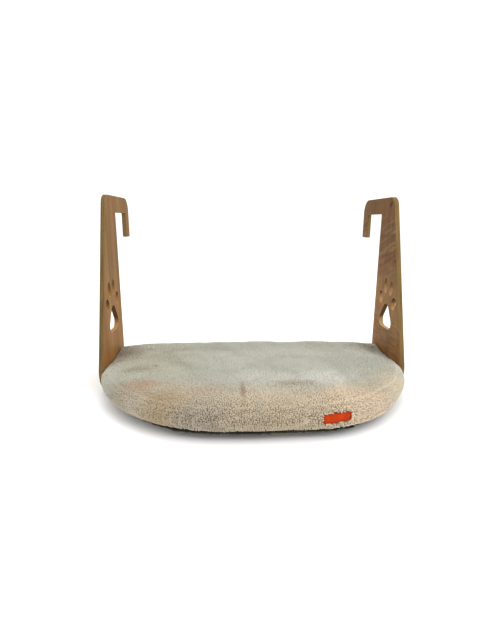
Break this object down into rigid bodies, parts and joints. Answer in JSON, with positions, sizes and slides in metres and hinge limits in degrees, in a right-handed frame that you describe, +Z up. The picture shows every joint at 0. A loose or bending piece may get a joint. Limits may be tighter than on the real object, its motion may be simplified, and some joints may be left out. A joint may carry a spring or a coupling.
{
  "type": "pet radiator bed",
  "caption": "Plush D-shaped pet bed on a wooden board between two hooked wooden brackets with paw-shaped holes, made to hang on a panel radiator.",
  "frame": {"origin": "on the floor plane under the brackets and the board, midway in width and midway in depth between the cushion's front and the hooks' back", "axes": "+Z up, +X to the right as seen from the front, -Y to the front of the bed and +Y to the radiator"},
  "size_m": [0.516, 0.4066, 0.326],
  "materials": {
    "bracket_wood": "satin",
    "board_wood": "satin",
    "bolt_steel": "satin",
    "nut_steel": "satin",
    "plush": "matte",
    "filling": "matte",
    "dark_fabric": "matte",
    "zip_tape": "matte",
    "zip_coil": "satin",
    "zip_metal": "satin",
    "label_fabric": "matte"
  },
  "bodies": {
    "frame": {"left_bracket": "bracket_wood", "right_bracket": "bracket_wood", "base_board": "board_wood", "left_bolts": "bolt_steel", "right_bolts": "bolt_steel", "left_barrel_nuts": "nut_steel", "right_barrel_nuts": "nut_steel"},
    "cushion": {"plush_cover": "plush", "cushion_core": "filling", "underside_panel": "dark_fabric", "upper_zip_tape": "zip_tape", "lower_zip_tape": "zip_tape", "upper_zip_coil": "zip_coil", "lower_zip_coil": "zip_coil", "zip_stops": "zip_metal", "side_label": "label_fabric"},
    "slider": {"zip_slider": "zip_metal"},
    "pull": {"zip_pull": "zip_metal"}
  },
  "joints": [
    {"name": "cushion_lift", "type": "slide", "parent": "frame", "child": "cushion", "axis": [0, 0, 1], "range_m": [0, 0.33]},
    {"name": "zip_slide", "type": "slide", "parent": "cushion", "child": "slider", "axis": [-1, 0, 0], "range_m": [0, 0.387]},
    {"name": "pull_swing", "type": "hinge", "parent": "slider", "child": "pull", "pos_m": [0.1935, 0.0958, 0.02879], "axis": [0, 0, -1], "range_deg": [0, 170]}
  ]
}
